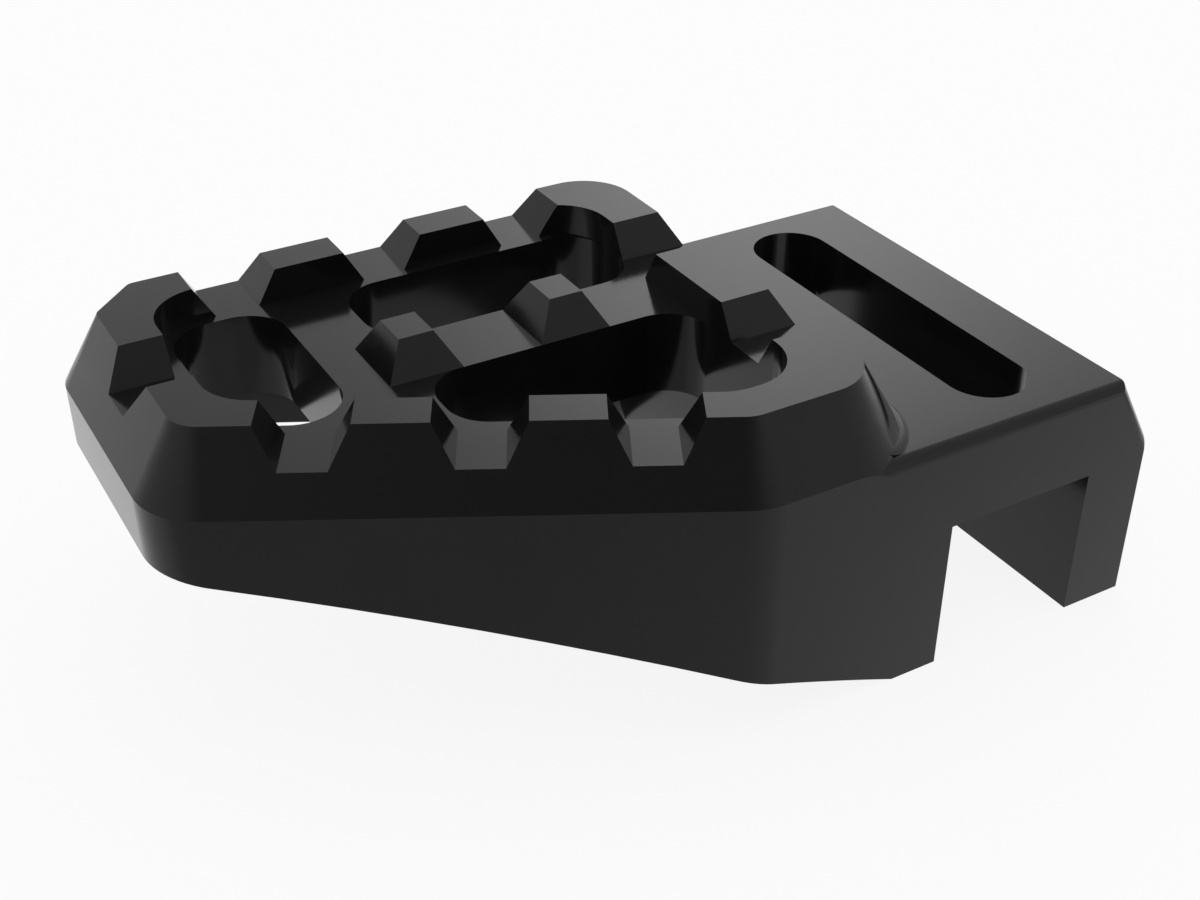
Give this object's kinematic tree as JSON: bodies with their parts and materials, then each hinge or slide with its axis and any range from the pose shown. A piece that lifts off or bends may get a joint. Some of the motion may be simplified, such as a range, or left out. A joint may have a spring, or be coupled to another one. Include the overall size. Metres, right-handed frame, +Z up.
{
  "type": "brake pedal extension",
  "caption": "Toothed foot plate with a slotted clamp block that straddles a motorbike's brake pedal and widens its tip.",
  "frame": {"origin": "middle of the screw slot, on the ceiling of the channel that straddles the pedal", "axes": "+X across the plate from its free end towards the clamp block, +Y along the slot and the channel, +Z up towards the boot"},
  "size_m": [0.0662, 0.0422, 0.0234],
  "materials": {
    "anodised_aluminium": "milled and black anodised"
  },
  "bodies": {
    "root": {"pedal_plate": "anodised_aluminium"}
  },
  "joints": []
}
